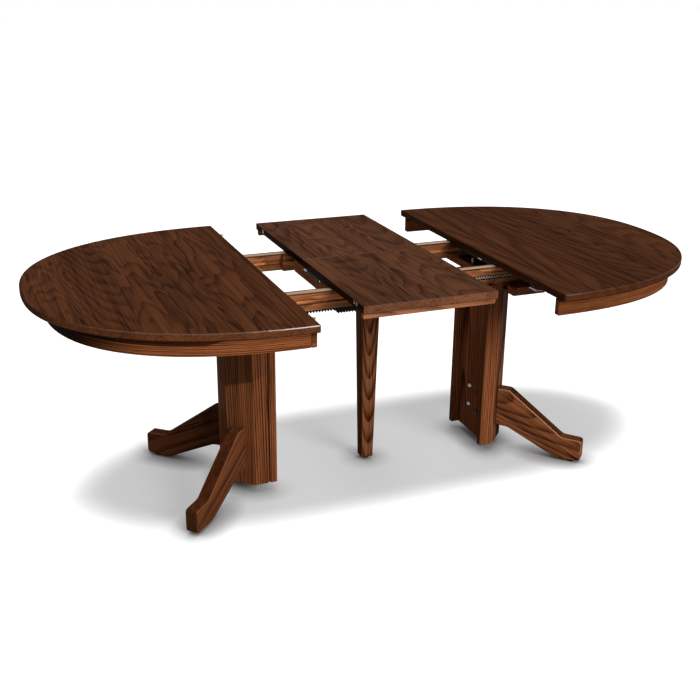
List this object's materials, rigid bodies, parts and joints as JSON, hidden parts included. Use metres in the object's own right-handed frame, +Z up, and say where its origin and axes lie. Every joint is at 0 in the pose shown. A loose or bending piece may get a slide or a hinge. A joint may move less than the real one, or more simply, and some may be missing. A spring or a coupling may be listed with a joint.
{
  "type": "extendable pedestal table",
  "caption": "Oval split-pedestal dining table drawn out on geared wooden slides, with a folding leaf between the half tops and a tapered centre leg.",
  "frame": {"origin": "on the floor under the middle of the table, where the centre leg stands", "axes": "+X runs along the slides towards the right half, +Y from the front edge to the back, +Z up"},
  "size_m": [2.321, 1.2218, 0.774],
  "materials": {
    "walnut_top": "dark brown figured walnut, satin lacquer",
    "stained_base": "red-brown stained open-grain wood, satin lacquer",
    "slide_wood": "lighter orange-brown stained wood, low sheen",
    "pale_strip": "pale unfinished wood, matt",
    "black_plastic": "black moulded nylon",
    "black_steel": "black coated pressed steel",
    "bright_steel": "zinc-plated steel",
    "pale_dowel": "pale turned dowel, unfinished"
  },
  "bodies": {
    "carriage": {"front_centre_rail": "slide_wood", "back_centre_rail": "slide_wood", "leg_beam": "slide_wood", "centre_leg": "stained_base", "centre_leg_bolt": "bright_steel", "centre_glide": "black_plastic", "leaf_back": "walnut_top", "leaf_back_apron": "walnut_top", "leaf_back_frame": "slide_wood", "leaf_back_hinge": "bright_steel", "leaf_dowel": "pale_dowel"},
    "left_half": {"left_top": "walnut_top", "left_apron": "stained_base", "left_cleat": "stained_base", "left_column_shell": "stained_base", "left_column_core": "stained_base", "left_front_leg": "stained_base", "left_front_leg_bolts": "bright_steel", "left_front_glide": "black_plastic", "left_front_rail": "slide_wood", "left_front_rail_strip": "pale_strip", "left_back_leg": "stained_base", "left_back_leg_bolts": "bright_steel", "left_back_glide": "black_plastic", "left_back_rail": "slide_wood", "left_back_rail_strip": "pale_strip", "left_rack": "black_plastic", "left_lock_plate": "black_steel", "left_front_apron_block": "stained_base", "left_back_apron_block": "stained_base", "left_front_column_strip": "stained_base", "left_back_column_strip": "stained_base", "left_front_dowel": "pale_dowel", "left_back_dowel": "pale_dowel"},
    "right_half": {"right_top": "walnut_top", "right_apron": "stained_base", "right_cleat": "stained_base", "right_column_shell": "stained_base", "right_column_core": "stained_base", "right_front_leg": "stained_base", "right_front_leg_bolts": "bright_steel", "right_front_glide": "black_plastic", "right_front_rail": "slide_wood", "right_front_rail_strip": "pale_strip", "right_back_leg": "stained_base", "right_back_leg_bolts": "bright_steel", "right_back_glide": "black_plastic", "right_back_rail": "slide_wood", "right_back_rail_strip": "pale_strip", "right_rack": "black_plastic", "right_lock_plate": "black_steel"},
    "pinion": {"inner_pinion": "black_plastic", "outer_pinion": "black_plastic"},
    "leaf_front_half": {"leaf_front": "walnut_top", "leaf_front_apron": "walnut_top", "leaf_front_frame": "slide_wood", "leaf_front_hinge": "bright_steel", "leaf_left_lock_plate": "black_steel", "leaf_right_lock_plate": "black_steel"}
  },
  "joints": [
    {"name": "left_slide", "type": "slide", "parent": "carriage", "child": "left_half", "axis": [1, 0, 0], "range_m": [0, 0.1735]},
    {"name": "right_slide", "type": "slide", "parent": "carriage", "child": "right_half", "axis": [-1, 0, 0], "range_m": [0, 0.1735]},
    {"name": "pinion_spin", "type": "hinge", "parent": "carriage", "child": "pinion", "pos_m": [0.07536, -0.2035, 0.69629], "axis": [0, -1, 0], "range_deg": [0, 779]},
    {"name": "leaf_fold", "type": "hinge", "parent": "carriage", "child": "leaf_front_half", "pos_m": [0, 0.0415, 0.7745], "axis": [-1, 0, 0], "range_deg": [0, 180]}
  ],
  "couplings": [
    {"joint": "right_slide", "follows": "left_slide", "ratio": 1},
    {"joint": "pinion_spin", "follows": "left_slide", "rad_per_m": 78.125}
  ]
}
